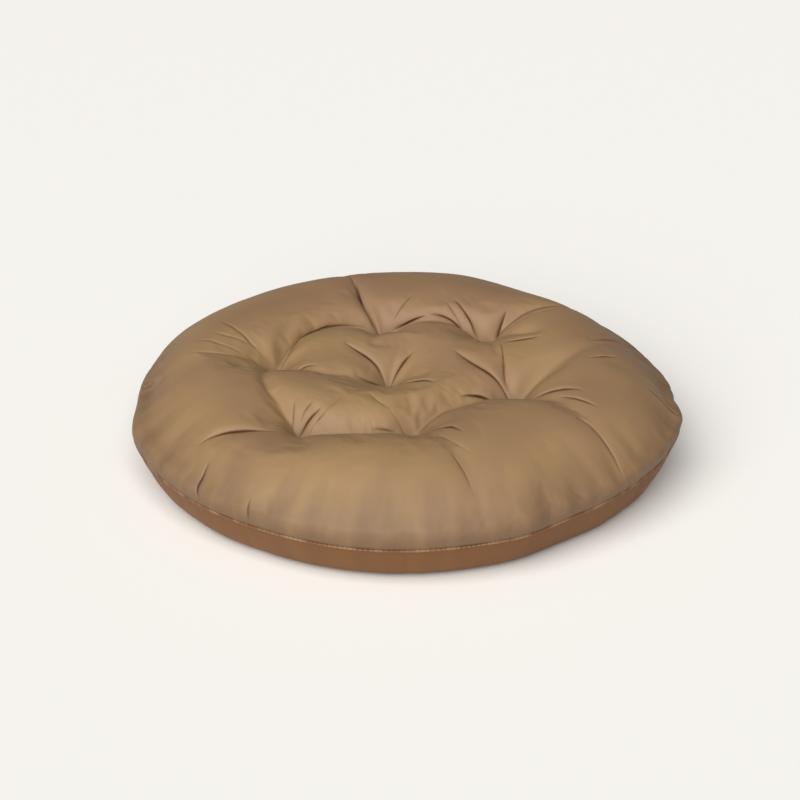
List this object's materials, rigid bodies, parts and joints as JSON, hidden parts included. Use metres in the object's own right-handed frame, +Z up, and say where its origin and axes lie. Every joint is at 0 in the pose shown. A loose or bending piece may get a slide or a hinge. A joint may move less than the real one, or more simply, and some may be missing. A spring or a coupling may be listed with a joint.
{
  "type": "round seat cushion",
  "caption": "Round tufted seat cushion: a puffed, filled top pulled down at a ring of tufts and sewn to a flat base panel that wraps up the side.",
  "frame": {"origin": "on the floor, under the middle of the cushion's outline", "axes": "+Z up through the thickness, -Y towards the front, +X to the right seen from the front"},
  "size_m": [0.5015, 0.4975, 0.0965],
  "materials": {
    "top_cloth": "smooth brown microfibre with a soft satin sheen",
    "base_cloth": "smooth darker brown microfibre, less sheen"
  },
  "bodies": {
    "root": {"filled_top": "top_cloth", "base_panel": "base_cloth"}
  },
  "joints": []
}
